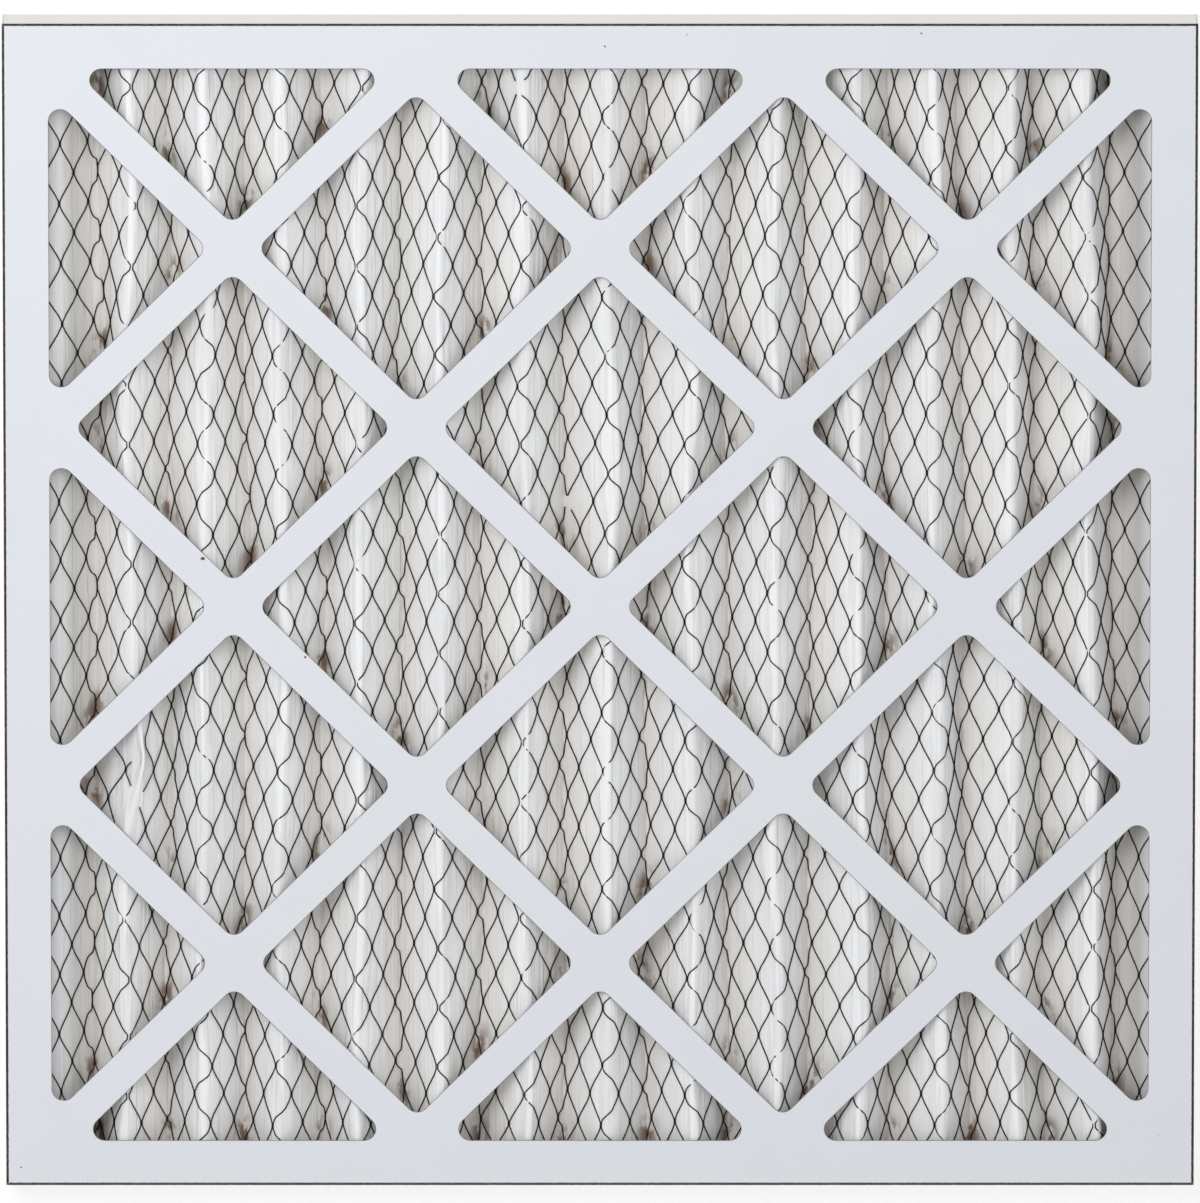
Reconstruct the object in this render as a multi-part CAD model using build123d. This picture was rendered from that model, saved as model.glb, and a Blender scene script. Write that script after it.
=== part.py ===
from build123d import *
import math
import os

# Pleated panel air filter for a nominal 20 x 20 x 1 inch slot. Millimetres.
# It lies on its air-entering face: +Z points out of the air-leaving face, the
# pleats run along Y, and the origin is at the middle of the bottom.

# ---- Overall size -------------------------------------------------------
face_width = 495.3  # 19.5 in, half an inch under the slot
face_height = 495.3
depth = 19.05  # 0.75 in

# ---- Coated board of the two trays ----------------------------------------
board = 0.6  # 24 point chipboard
fold_radius = 0.5  # outside of every crease
glue_line = 0.1  # between two boards that lie on each other
flange_height = 16.5  # sides of the inner tray, from the air-leaving face
tab_length = 24.0  # glued corner tabs of the outer tray
tab_relief = 0.25  # die-cut gap at the top and bottom of each tab

# ---- Die-cut windows --------------------------------------------------------
border = 19.05  # board left all round the windows
bar_width = 14.3  # diagonal bars
diamonds_across = 3  # whole diamonds in the longest row
diamonds_up = 3
window_radius = 5.0  # rounded corners on the air-leaving face
window_clip = 3.0  # straight-cut corners on the air-entering face

# ---- Adhesive round the pleat pack -----------------------------------------
bead = 1.2  # thickness of the glue between the pack and the tray
bead_inset = 1.325  # glue stops short of the pack's top and bottom

# ---- Pleated media ---------------------------------------------------------
media = 2.4  # lofted nonwoven
pack_clearance = 0.1  # between the pack and each tray face
ridge_count = 13
ridge_pitch = 33.35
ridge_shift = 3.8  # middle ridge to the middle of the filter
pitch_swell = 3.2  # how far the middle pleats open at the cost of the end ones
ridge_radius = 3.6  # front of the media, over a ridge
valley_radius = 3.2  # back of the media, under a valley
end_valley = 12.6  # outermost ridges to the valleys beyond them
lean_left = 3.0  # each valley leans off the middle of its two ridges
lean_right = -6.6
lip = 8.0  # flat edge of the pack, under the border

# ---- Expanded metal on the front of the media --------------------------------
strand = 0.6
laminate_gap = 0.05
mesh_rows = 11
strand_width = 1.7  # web between two openings
fold_web = 1.2  # metal left beside each crease

# ---- Worked out from the sizes above -----------------------------------------
inner_half_width = face_width / 2 - 2 * board - glue_line
inner_half_height = face_height / 2 - 2 * board - glue_line
pack_half_width = inner_half_width - bead
pack_half_height = inner_half_height - bead
pack_bottom = board + pack_clearance
pack_top = depth - board - pack_clearance
mesh_offset = media / 2 + laminate_gap
ridge_arc = ridge_radius - media / 2
valley_arc = valley_radius - media / 2
ridge_centre_z = pack_top - strand - mesh_offset - ridge_arc
valley_centre_z = pack_bottom + valley_radius


def block(x_range, y_range, z_range):
    """A rectangular solid between two corners."""
    ranges = (x_range, y_range, z_range)
    middle = [(low + high) / 2 for low, high in ranges]
    size = [high - low for low, high in ranges]
    return Pos(*middle) * Box(*size)


def mirrored(solid, plane):
    """The solid and its mirror image."""
    return [solid, mirror(solid, about=plane)]


# ---- Trays ---------------------------------------------------------------------
def window_outline(column, row, finish_corners):
    """One die-cut window: a diamond, or half of one where it meets the border."""
    step_x = (face_width - 2 * border) / (2 * diamonds_across)
    step_y = (face_height - 2 * border) / (2 * diamonds_up)
    shrink = 1 - bar_width / 2 * math.hypot(step_x, step_y) / (step_x * step_y)
    reach_x, reach_y = step_x * shrink, step_y * shrink
    tips = []
    if column > 0:
        tips.append((-reach_x, 0))
    if row > 0:
        tips.append((0, -reach_y))
    if column < 2 * diamonds_across:
        tips.append((reach_x, 0))
    if row < 2 * diamonds_up:
        tips.append((0, reach_y))
    outline = finish_corners(Polygon(*tips, align=None).vertices())
    return Pos((column - diamonds_across) * step_x, (row - diamonds_up) * step_y) * outline


def rounded(corners):
    """Window corners as the visible face has them."""
    return fillet(corners, window_radius)


def clipped(corners):
    """Window corners with a single straight cut, for the face that lies hidden."""
    return chamfer(corners, window_clip)


def lattice(width, height, base_z, finish_corners):
    """A tray's face board with its windows cut through it."""
    sheet = block((-width / 2, width / 2), (-height / 2, height / 2), (base_z, base_z + board))
    for row in range(2 * diamonds_up + 1):
        for column in range(2 * diamonds_across + 1):
            if (row + column) % 2 == 1:
                outline = window_outline(column, row, finish_corners)
                sheet -= Pos(0, 0, base_z) * extrude(outline, board)
    return sheet


def crease(tray, level):
    """The tray with its four outer creases at one level rounded."""
    edges = tray.edges().filter_by(GeomType.LINE).filter_by_position(Axis.Z, level, level)
    span_x = max(abs(edge.center().X) for edge in edges)
    span_y = max(abs(edge.center().Y) for edge in edges)
    slack = board / 2
    outer = [
        edge
        for edge in edges
        if abs(edge.center().X) > span_x - slack or abs(edge.center().Y) > span_y - slack
    ]
    return fillet(outer, fold_radius)


def make_rear_tray():
    """The outer tray: lattice at the bottom, walls up to the air-leaving face."""
    half_x, half_y = face_width / 2, face_height / 2
    wall_end_x = half_x - board - glue_line
    side = block((half_x - board, half_x), (-half_y, half_y), (0, depth))
    end = block((-wall_end_x, wall_end_x), (half_y - board, half_y), (0, depth))
    tab = block(
        (wall_end_x - board, wall_end_x),
        (half_y - tab_length, half_y),
        (board + tab_relief, depth - board - tab_relief),
    )
    tray = lattice(face_width, face_height, 0, clipped)
    tray += mirrored(side, Plane.YZ)
    tray += mirrored(end, Plane.XZ)
    for upper_tab in mirrored(tab, Plane.YZ):
        tray += mirrored(upper_tab, Plane.XZ)
    return crease(tray, 0)


def make_front_tray():
    """The inner tray: lattice at the top, flanges down inside the outer tray."""
    half_x = face_width / 2 - board - glue_line
    half_y = face_height / 2 - board - glue_line
    side_end = face_height / 2 - tab_length - tab_relief
    end_end = inner_half_width - glue_line
    levels = (depth - flange_height, depth)
    side = block((half_x - board, half_x), (-side_end, side_end), levels)
    end = block((-end_end, end_end), (half_y - board, half_y), levels)
    tray = lattice(2 * half_x, 2 * half_y, depth - board, rounded)
    tray += mirrored(side, Plane.YZ)
    tray += mirrored(end, Plane.XZ)
    return crease(tray, depth)


# ---- Pleat pack -----------------------------------------------------------------
def ridge_x(index):
    """Where a ridge stands: even pleats, opened a little towards the middle."""
    middle = (ridge_count - 1) / 2
    swell = pitch_swell * math.sin(math.pi * (index - middle) / middle)
    return ridge_shift + (index - middle) * ridge_pitch + swell


def lean_at(x):
    """How far a valley at x leans, from the left end to the right end."""
    share = (x + pack_half_width) / (2 * pack_half_width)
    return lean_left + share * (lean_right - lean_left)


def fold_circles():
    """The pack's folds, left to right: centre x, centre z and signed radius.

    A radius above zero is a ridge, which the sheet goes over, and one below
    zero is a valley. The two ends of the sheet have no radius.
    """
    ridges = [ridge_x(index) for index in range(ridge_count)]
    middles = [(left + right) / 2 for left, right in zip(ridges, ridges[1:])]
    middles = [ridges[0] - end_valley] + middles + [ridges[-1] + end_valley]
    valleys = [middle + lean_at(middle) for middle in middles]
    lip_x = pack_half_width - lip
    ridges = [-lip_x] + ridges + [lip_x]
    circles = [(-pack_half_width, ridge_centre_z + ridge_arc, 0)]
    for ridge, valley in zip(ridges, valleys):
        circles.append((ridge, ridge_centre_z, ridge_arc))
        circles.append((valley, valley_centre_z, -valley_arc))
    circles.append((ridges[-1], ridge_centre_z, ridge_arc))
    circles.append((pack_half_width, ridge_centre_z + ridge_arc, 0))
    return circles


def leg_angles(circles):
    """Slope of the flat leg from each fold to the next, as a common tangent."""
    angles = []
    for (x1, z1, r1), (x2, z2, r2) in zip(circles, circles[1:]):
        distance = math.hypot(x2 - x1, z2 - z1)
        angles.append(math.atan2(z2 - z1, x2 - x1) - math.asin((r1 - r2) / distance))
    return angles


def touch_point(circle, angle, offset):
    """Where a leg of a given slope meets a fold, offset from the media's middle."""
    x, z, radius = circle
    reach = radius + offset
    return (x - reach * math.sin(angle), z + reach * math.cos(angle))


def crease_point(circle, angle_in, angle_out, offset):
    """Where the two legs of a fold meet in a sharp crease."""
    x, z, radius = circle
    middle = (angle_in + angle_out) / 2
    reach = (radius + offset) / math.cos((angle_out - angle_in) / 2)
    return (x - reach * math.sin(middle), z + reach * math.cos(middle))


def fold_legs(offset):
    """The two ends of every flat leg of the folded sheet, at an offset."""
    circles = fold_circles()
    return [
        (touch_point(circles[i], angle, offset), touch_point(circles[i + 1], angle, offset))
        for i, angle in enumerate(leg_angles(circles))
    ]


def fold_line(offset):
    """The sheet's outline at an offset: legs, round outside a fold and creased inside."""
    circles = fold_circles()
    angles = leg_angles(circles)
    legs = fold_legs(offset)
    edges = []
    start = legs[0][0]
    for i in range(1, len(legs)):
        if circles[i][2] * offset > 0:
            crown = touch_point(circles[i], (angles[i - 1] + angles[i]) / 2, offset)
            edges.append(Line(start, legs[i - 1][1]))
            edges.append(ThreePointArc(legs[i - 1][1], crown, legs[i][0]))
            start = legs[i][0]
        else:
            corner = crease_point(circles[i], angles[i - 1], angles[i], offset)
            edges.append(Line(start, corner))
            start = corner
    edges.append(Line(start, legs[-1][1]))
    return edges


def folded_sheet(low_offset, high_offset):
    """A sheet between two offsets of the fold line, over the pack's height."""
    low, high = fold_line(low_offset), fold_line(high_offset)
    ends = [Line(low[0] @ 0, high[0] @ 0), Line(low[-1] @ 1, high[-1] @ 1)]
    section = Plane.XZ * make_face(Curve() + low + high + ends)
    return extrude(section, pack_half_height, both=True)


def make_pleated_media():
    """The whole zigzag of nonwoven, with a flat lip at each side."""
    return folded_sheet(-media / 2, media / 2)


def make_support_mesh():
    """Expanded metal that follows the pleats, one column of openings a leg."""
    row_pitch = 2 * pack_half_height / mesh_rows
    middle = mesh_offset + strand / 2
    openings = []
    for number, (start, end) in enumerate(fold_legs(middle)[1:-1]):
        length = math.dist(start, end)
        half_across = length / 2 - fold_web
        half_along = (row_pitch - strand_width) / 2
        frame = Plane(
            origin=((start[0] + end[0]) / 2, 0, (start[1] + end[1]) / 2),
            x_dir=(end[0] - start[0], 0, end[1] - start[1]),
            z_dir=(start[1] - end[1], 0, end[0] - start[0]),
        )
        tips = [(-half_across, 0), (0, -half_along), (half_across, 0), (0, half_along)]
        opening = extrude(Polygon(*tips, align=None), strand, both=True)
        stagger = number % 2
        for row in range(mesh_rows - stagger):
            along = (row - (mesh_rows - 1 - stagger) / 2) * row_pitch
            openings.append(frame * Pos(0, along) * opening)
    sheet = folded_sheet(mesh_offset, mesh_offset + strand)
    return sheet - openings


# ---- Adhesive --------------------------------------------------------------------
def make_adhesive(side_x, side_y):
    """The glue between the pack and one side of the tray."""
    levels = (pack_bottom + bead_inset, pack_top - bead_inset)
    if side_x:
        strip = block((pack_half_width, inner_half_width), (-pack_half_height, pack_half_height), levels)
        return strip if side_x > 0 else mirror(strip, about=Plane.YZ)
    strip = block((-inner_half_width, inner_half_width), (pack_half_height, inner_half_height), levels)
    return strip if side_y > 0 else mirror(strip, about=Plane.XZ)


pieces = {
    "rear_tray": make_rear_tray(),
    "front_tray": make_front_tray(),
    "pleated_media": make_pleated_media(),
    "support_mesh": make_support_mesh(),
    "adhesive_left": make_adhesive(-1, 0),
    "adhesive_right": make_adhesive(1, 0),
    "adhesive_top": make_adhesive(0, 1),
    "adhesive_bottom": make_adhesive(0, -1),
}

os.makedirs("parts", exist_ok=True)
for name, piece in pieces.items():
    export_step(piece, f"parts/{name}.step")
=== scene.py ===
"""Looks for a pleated panel air filter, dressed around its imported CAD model.

The filter lies on its air-entering face. Two nested board trays hold a zigzag
of nonwoven media that is backed by expanded metal. The trays and the glue keep
their CAD shapes and get their finishes here. The media and the metal are built
again with the unevenness of a hand-loaded pleat pack. Sizes are in millimetres
unless a name says otherwise, and meshes are written in metres.
"""

import logging
import math
from collections.abc import Iterable, Sequence
from dataclasses import dataclass, field
from enum import Enum

import bpy
import numpy as np
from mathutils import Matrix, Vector


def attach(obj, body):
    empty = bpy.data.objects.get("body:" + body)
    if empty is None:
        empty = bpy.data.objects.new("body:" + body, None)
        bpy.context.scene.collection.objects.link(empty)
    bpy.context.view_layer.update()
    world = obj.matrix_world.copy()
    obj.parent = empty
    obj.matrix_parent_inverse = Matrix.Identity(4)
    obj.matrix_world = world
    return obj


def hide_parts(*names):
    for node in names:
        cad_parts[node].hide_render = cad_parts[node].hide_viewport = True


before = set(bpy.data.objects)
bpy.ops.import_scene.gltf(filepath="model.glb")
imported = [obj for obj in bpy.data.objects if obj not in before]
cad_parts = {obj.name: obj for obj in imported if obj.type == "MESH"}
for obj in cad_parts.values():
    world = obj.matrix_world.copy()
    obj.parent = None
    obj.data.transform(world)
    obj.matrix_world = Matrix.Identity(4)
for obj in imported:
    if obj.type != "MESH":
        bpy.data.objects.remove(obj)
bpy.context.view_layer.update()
MM = 0.001
FULL_TURN = 6.283

Triple = tuple[float, float, float]
Colour = Triple
Span = tuple[float, float]
Points = np.ndarray | Sequence[Sequence[float]]
Rings = Sequence[Sequence[int]]
Value = bpy.types.NodeSocket | bpy.types.ID | Triple | float | str
Feeds = dict[str | int, Value]
logging.basicConfig(level=logging.INFO, format="%(message)s")
log = logging.getLogger("air_filter")


def feed(tree: bpy.types.NodeTree, socket: bpy.types.NodeSocket, value: Value) -> None:
    """Gives a node's input its value, or a link from another node.

    Args:
        tree: The node tree that holds the input.
        socket: The input.
        value: A number, a name, a colour, a material or another node's output.
    """
    if isinstance(value, bpy.types.NodeSocket):
        tree.links.new(value, socket)
    elif isinstance(value, tuple) and socket.type == "RGBA":
        socket.default_value = (*value, 1.0)
    else:
        socket.default_value = value


def metres(lengths: Iterable[float]) -> list[float]:
    """Lengths in metres, from millimetres."""
    return [MM * length for length in lengths]


def placed(name: str, data: bpy.types.ID) -> bpy.types.Object:
    """A new object of the scene, at the origin.

    Args:
        name: The object's name.
        data: Its mesh, light or camera.

    Returns:
        The object.
    """
    piece = bpy.data.objects.new(name, data)
    bpy.context.scene.collection.objects.link(piece)
    return piece


def plain_mesh(name: str, points: Points, edges: Rings = (), faces: Rings = ()) -> bpy.types.Mesh:
    """A new mesh.

    Args:
        name: The mesh's name.
        points: Its points, in millimetres.
        edges: Pairs of points.
        faces: Rings of points.

    Returns:
        The mesh.
    """
    mesh = bpy.data.meshes.new(name)
    mesh.from_pydata(np.asarray(points) * MM, edges, faces)
    return mesh


def store(mesh: bpy.types.Mesh, name: str, values: np.ndarray) -> None:
    """Stores a number or a vector on each point of a mesh.

    Args:
        mesh: The mesh.
        name: What the values are called.
        values: One number or one row of three for each point.
    """
    vector = values.ndim > 1
    kept = mesh.attributes.new(name, "FLOAT_VECTOR" if vector else "FLOAT", "POINT")
    kept.data.foreach_set("vector" if vector else "value", values.ravel())


# ---- Sizes that the CAD model gives -------------------------------------------
@dataclass(frozen=True)
class PanelSizes:
    """The board frame, as the CAD model has it."""

    face_width: float = 495.3
    face_height: float = 495.3
    depth: float = 19.05
    board: float = 0.6
    glue_line: float = 0.1
    border: float = 19.05
    bar_width: float = 14.3
    diamonds: int = 3
    window_radius: float = 5.0
    bead: float = 1.2
    pack_clearance: float = 0.1

    @property
    def pack_inset(self) -> float:
        """How far the pleat pack lies inside the filter's outline."""
        return 2 * self.board + self.glue_line + self.bead

    @property
    def pack_half_width(self) -> float:
        """Half the pleat pack's width."""
        return self.face_width / 2 - self.pack_inset

    @property
    def pack_half_height(self) -> float:
        """Half the pleat pack's height, along the pleats."""
        return self.face_height / 2 - self.pack_inset

    @property
    def pack_bottom(self) -> float:
        """Lowest level that the pack may reach."""
        return self.board + self.pack_clearance

    @property
    def pack_top(self) -> float:
        """Highest level that the pack may reach."""
        return self.depth - self.board - self.pack_clearance

    def windows(self) -> list[list[np.ndarray]]:
        """Corners of each lattice window in plan, before they are rounded.

        Returns:
            The corners of each window, in order round it.
        """
        step_x = (self.face_width - 2 * self.border) / (2 * self.diamonds)
        step_y = (self.face_height - 2 * self.border) / (2 * self.diamonds)
        shrink = 1 - self.bar_width / 2 * math.hypot(step_x, step_y) / (step_x * step_y)
        wide, high = step_x * shrink, step_y * shrink
        tips = np.array([(-wide, 0.0), (0.0, -high), (wide, 0.0), (0.0, high)])
        last = 2 * self.diamonds
        outlines = []
        for row in range(last + 1):
            for column in range(last + 1):
                if (row + column) % 2 == 0:
                    continue
                middle = np.array([column - self.diamonds, row - self.diamonds]) * (step_x, step_y)
                kept = (column > 0, row > 0, column < last, row < last)
                outlines.append([middle + tip for tip, stays in zip(tips, kept) if stays])
        return outlines


@dataclass(frozen=True)
class FoldRule:
    """Where the pleats fold, as in the CAD model but for the wider end valleys."""

    panel: PanelSizes
    media: float = 2.4
    ridge_count: int = 13
    ridge_pitch: float = 33.35
    ridge_shift: float = 3.8
    pitch_swell: float = 3.2
    ridge_radius: float = 3.6
    valley_radius: float = 3.2
    end_valley: float = 15.2
    lean_left: float = 3.0
    lean_right: float = -6.6
    lip: float = 8.0
    strand: float = 0.6
    laminate_gap: float = 0.05

    def ridge_x(self) -> np.ndarray:
        """Every ridge's place across the pack.

        Returns:
            One x for each ridge, from left to right.
        """
        middle = (self.ridge_count - 1) / 2
        index = np.arange(self.ridge_count) - middle
        swell = self.pitch_swell * np.sin(math.pi * index / middle)
        return self.ridge_shift + index * self.ridge_pitch + swell

    def circles(self) -> tuple[np.ndarray, np.ndarray, np.ndarray]:
        """The folds from left to right.

        Returns:
            Centre x, centre z and signed radius of each fold. Ridges have a
            radius above zero, valleys one below it, and the two ends none.
        """
        panel = self.panel
        ridge_arc = self.ridge_radius - self.media / 2
        valley_arc = self.valley_radius - self.media / 2
        ridge_z = panel.pack_top - self.strand - self.laminate_gap - self.media / 2 - ridge_arc
        valley_z = panel.pack_bottom + self.valley_radius
        ridges = self.ridge_x()
        middles = (ridges[1:] + ridges[:-1]) / 2
        middles = np.concatenate(
            ([ridges[0] - self.end_valley], middles, [ridges[-1] + self.end_valley])
        )
        share = (middles + panel.pack_half_width) / (2 * panel.pack_half_width)
        valleys = middles + self.lean_left + share * (self.lean_right - self.lean_left)
        lip_x = panel.pack_half_width - self.lip
        ridges = np.concatenate(([-lip_x], ridges, [lip_x]))
        count = len(ridges) + len(valleys)
        x, z, radius = np.empty(count), np.empty(count), np.empty(count)
        x[0::2], x[1::2] = ridges, valleys
        z[0::2], z[1::2] = ridge_z, valley_z
        radius[0::2], radius[1::2] = ridge_arc, -valley_arc
        ends = panel.pack_half_width
        x = np.concatenate(([-ends], x, [ends]))
        z = np.concatenate(([ridge_z + ridge_arc], z, [ridge_z + ridge_arc]))
        radius = np.concatenate(([0.0], radius, [0.0]))
        return x, z, radius


# ---- Unevenness ------------------------------------------------------------------
@dataclass(frozen=True)
class Wander:
    """Smooth seeded unevenness, made of cosine waves."""

    seed: int
    wavelengths: tuple[float, ...]
    weight_spread: float = 0.3

    def along(self, y: np.ndarray, count: int) -> np.ndarray:
        """Uneven lines, with a standard deviation of about one.

        Args:
            y: Places along each line.
            count: How many lines.

        Returns:
            One column for each line and one row for each place.
        """
        rng = np.random.default_rng(self.seed)
        total = np.zeros((len(y), count))
        for wavelength in self.wavelengths:
            phase = rng.uniform(0, 2 * math.pi, count)
            weight = rng.normal(1, self.weight_spread, count)
            total += weight * np.cos(2 * math.pi * y[:, None] / wavelength + phase)
        return total / math.sqrt(len(self.wavelengths) / 2)

    def over(self, u: np.ndarray, v: np.ndarray) -> np.ndarray:
        """An uneven surface, with a standard deviation of about one.

        Args:
            u: Places in the first direction.
            v: Places in the second direction, of the same shape.

        Returns:
            The surface's height at each place.
        """
        rng = np.random.default_rng(self.seed)
        total = np.zeros(np.broadcast(u, v).shape)
        for wavelength in self.wavelengths:
            turn, phase = rng.uniform(0, 2 * math.pi, 2)
            across = u * math.cos(turn) + v * math.sin(turn)
            total += np.cos(2 * math.pi * across / wavelength + phase)
        return total / math.sqrt(len(self.wavelengths) / 2)


@dataclass(frozen=True)
class Dent:
    """A knock that has pushed one ridge over into a sharp, bent crease."""

    x: float = -196.0
    y: float = -66.0
    push: float = 4.6
    above: float = 34.0
    below: float = 31.0
    spread: float = 11.0
    fold: float = 0.9

    def share(self, x: np.ndarray, y: np.ndarray) -> np.ndarray:
        """One at the knock, falling in straight lines along the ridge.

        Args:
            x: Places across the pleats.
            y: Places along the pleats.

        Returns:
            The share at each place.
        """
        along = np.where(y > self.y, self.above, self.below)
        straight = np.clip(1 - np.abs(y - self.y) / along, 0, 1)
        return straight * np.exp(-(((x - self.x) / self.spread) ** 2))


@dataclass(frozen=True)
class Spot:
    """A round place on the face where something is different."""

    x: float
    y: float
    radius: float

    def share(self, x: np.ndarray, y: np.ndarray) -> np.ndarray:
        """One at the middle of the spot, falling smoothly to nothing."""
        far = ((x - self.x) ** 2 + (y - self.y) ** 2) / self.radius**2
        return np.exp(-far)


@dataclass
class PleatSurface:
    """The folded sheet with its hand-made unevenness, as a grid of points.

    Each row of the grid is one section across the pleats, and each column
    follows one line of the flat sheet along them.
    """

    rule: FoldRule
    rows: int = 113
    leg_points: int = 5
    arc_points: int = 7
    drift: Wander = Wander(11, (640.0, 330.0, 190.0, 120.0))
    sag: Wander = Wander(23, (520.0, 240.0, 130.0))
    rumple: Wander = Wander(37, (19.0, 23.0, 31.0, 38.0, 47.0, 64.0, 85.0))
    wrinkle: Wander = Wander(41, (9.0, 11.0, 14.0, 21.0))
    drift_size: float = 0.85
    dip_size: float = 0.35
    lift_size: float = 0.4
    highest_wave: float = 2.5
    rumple_size: float = 0.13
    rumple_narrowing: float = 1.6
    wrinkle_size: float = 0.45
    wrinkle_narrowing: float = 1.5
    crest_smoothing: float = 0.4
    splay_left: float = 1.7
    splay_right: float = 3.1
    crest_pinch: float = 0.8
    dent: Dent = Dent()
    y: np.ndarray = field(init=False)
    x: np.ndarray = field(init=False)
    z: np.ndarray = field(init=False)
    turn: np.ndarray = field(init=False)
    flat: np.ndarray = field(init=False)
    crown: np.ndarray = field(init=False)

    def __post_init__(self) -> None:
        """Works out the whole grid."""
        half = self.rule.panel.pack_half_height
        self.y = np.linspace(-half, half, self.rows)
        x, z, radius = self._uneven_folds()
        angle = self._leg_angles(x, z, radius)
        self._fill_stations(x, z, radius, angle)
        self._ruffle()
        steps = np.hypot(np.diff(self.x, axis=1), np.diff(self.z, axis=1)).mean(axis=0)
        self.flat = np.concatenate(([0.0], np.cumsum(steps)))

    def _uneven_folds(self) -> tuple[np.ndarray, np.ndarray, np.ndarray]:
        """Fold circles on every row: centre x, centre z and signed radius.

        Returns:
            Three grids, with one row for each place along the pleats.
        """
        x, z, radius = self.rule.circles()
        panel = self.rule.panel
        count = len(x)
        free = np.ones(count)
        free[[0, 1, -2, -1]] = 0.0
        reach = self.rule.ridge_x()[-1]
        splay = np.where(x > 0, self.splay_right, self.splay_left) * x / reach
        splay = -splay * (self.y / panel.pack_half_height)[:, None]
        dented = self.dent.share(x, self.y[:, None])
        push = self.dent.push * dented
        shift = self.drift_size * self.drift.along(self.y, count) + splay + push
        wave = np.clip(1 + self.sag.along(self.y, count), 0, self.highest_wave) / 2
        pinch = np.where(radius > 0, self.crest_pinch * free, 0.0)
        pinch = pinch + (np.maximum(radius, 0) - pinch) * self.dent.fold * dented
        level = np.where(radius > 0, -self.dip_size, self.lift_size) * wave * free + pinch
        return x + shift * free, z + level, radius - pinch

    @staticmethod
    def _leg_angles(x: np.ndarray, z: np.ndarray, radius: np.ndarray) -> np.ndarray:
        """Slope of the flat leg from each fold to the next, as a common tangent."""
        run, rise = np.diff(x, axis=1), np.diff(z, axis=1)
        return np.arctan2(rise, run) - np.arcsin(-np.diff(radius, axis=1) / np.hypot(run, rise))

    def _fill_stations(
        self, x: np.ndarray, z: np.ndarray, radius: np.ndarray, angle: np.ndarray
    ) -> None:
        """Lays the grid's columns along each leg and round each fold.

        Args:
            x: Fold centres on every row.
            z: Fold heights on every row.
            radius: Signed fold radii on every row.
            angle: Leg slopes on every row.
        """

        def on_fold(fold: int, slope: np.ndarray) -> tuple[np.ndarray, np.ndarray]:
            """Where the sheet has a slope on the circle of a fold."""
            reach = radius[:, fold]
            return x[:, fold] - reach * np.sin(slope), z[:, fold] + reach * np.cos(slope)

        stations = []
        legs = angle.shape[1]
        for leg in range(legs):
            slope = angle[:, leg]
            ends = on_fold(leg, slope), on_fold(leg + 1, slope)
            for share in np.linspace(0, 1, self.leg_points):
                place = (start + share * (end - start) for start, end in zip(*ends))
                stations.append((*place, slope, 0.0))
            if leg == legs - 1:
                continue
            crown = float(np.sign(radius[0, leg + 1]))
            for share in np.linspace(0, 1, self.arc_points + 2)[1:-1]:
                here = slope + share * (angle[:, leg + 1] - slope)
                stations.append((*on_fold(leg + 1, here), here, crown))
        *grids, crowns = zip(*stations)
        self.x, self.z, self.turn = (np.stack(grid, axis=1) for grid in grids)
        self.crown = np.array(crowns)

    def _ruffle(self) -> None:
        """Adds the sheet's own soft unevenness, and creases in the dent."""
        y = self.y[:, None]
        depth = self.rumple_size * self.rumple.over(self.x * self.rumple_narrowing, y)
        creased = np.abs(self.wrinkle.over(self.x * self.wrinkle_narrowing, y))
        depth -= self.wrinkle_size * self.dent.share(self.x, y) * creased
        depth *= np.where(self.crown > 0, self.crest_smoothing, 1.0)
        rule, panel = self.rule, self.rule.panel
        top = panel.pack_top - rule.strand - rule.laminate_gap - rule.media / 2
        self.x = self.x - depth * np.sin(self.turn)
        self.z = np.minimum(self.z + depth * np.cos(self.turn), top)

    @property
    def unfolded_length(self) -> float:
        """Length of the sheet before it was pleated."""
        return float(self.flat[-1])

    @property
    def valleys(self) -> np.ndarray:
        """Places of the valley folds on the flat sheet."""
        return self.flat[self.crown < 0].reshape(-1, self.arc_points).mean(axis=1)

    def flat_at(self, x: float) -> float:
        """Place on the flat sheet that lies at a given x on a mean row."""
        line = self.x.mean(axis=0)
        return float(self.flat[int(np.argmin(np.abs(line - x)))])

    def locate(self, flat: np.ndarray, y: np.ndarray, offset: np.ndarray) -> np.ndarray:
        """Points in front of the sheet's middle or behind it.

        Args:
            flat: Places across the flat sheet.
            y: Places along the pleats.
            offset: Distances in front of the sheet's middle.

        Returns:
            One row of x, y and z for each place.
        """
        column = np.interp(flat, self.flat, np.arange(len(self.flat)))
        row = np.interp(y, self.y, np.arange(len(self.y)))
        c = np.minimum(column.astype(int), len(self.flat) - 2)
        r = np.minimum(row.astype(int), len(self.y) - 2)
        across, along = column - c, row - r

        def mix(grid: np.ndarray) -> np.ndarray:
            """A grid's value between its four nearest points.

            Args:
                grid: One value for each point of the sheet.

            Returns:
                The value at each place.
            """
            low = grid[r, c] * (1 - across) + grid[r, c + 1] * across
            high = grid[r + 1, c] * (1 - across) + grid[r + 1, c + 1] * across
            return low * (1 - along) + high * along

        turn = mix(self.turn)
        x = mix(self.x) - offset * np.sin(turn)
        z = mix(self.z) + offset * np.cos(turn)
        return np.stack([x, y, z], axis=-1)


# ---- Node trees written in code -----------------------------------------------------
@dataclass(frozen=True)
class Grain:
    """A noise pattern: its patches' size and stretch, and how much it changes."""

    size: float
    stretch: Triple = (1, 1, 1)
    detail: float = 2.0
    swing: float = 0.0


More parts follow.
